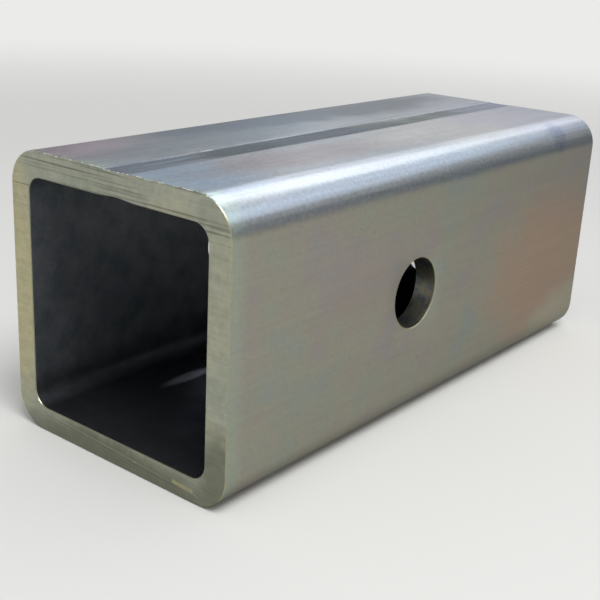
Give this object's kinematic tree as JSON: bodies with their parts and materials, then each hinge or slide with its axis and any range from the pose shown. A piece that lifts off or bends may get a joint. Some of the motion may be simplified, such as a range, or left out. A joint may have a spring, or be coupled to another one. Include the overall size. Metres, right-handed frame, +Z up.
{
  "type": "receiver tube",
  "caption": "Short length of welded square steel tube, open at both ends, with a cross hole through both side walls for a hitch pin.",
  "frame": {"origin": "middle of the pin hole, on the centre line of the tube", "axes": "+X along the pin hole, +Y along the tube from its front mouth to its back end, +Z up through the wall with the weld seam"},
  "size_m": [0.0636, 0.1524, 0.0636],
  "materials": {
    "zinc_plated_steel": "satin zinc plating over hot-rolled welded tube, with a faint yellow and blue passivation film; sawn ends"
  },
  "bodies": {
    "root": {"receiver_tube": "zinc_plated_steel"}
  },
  "joints": []
}
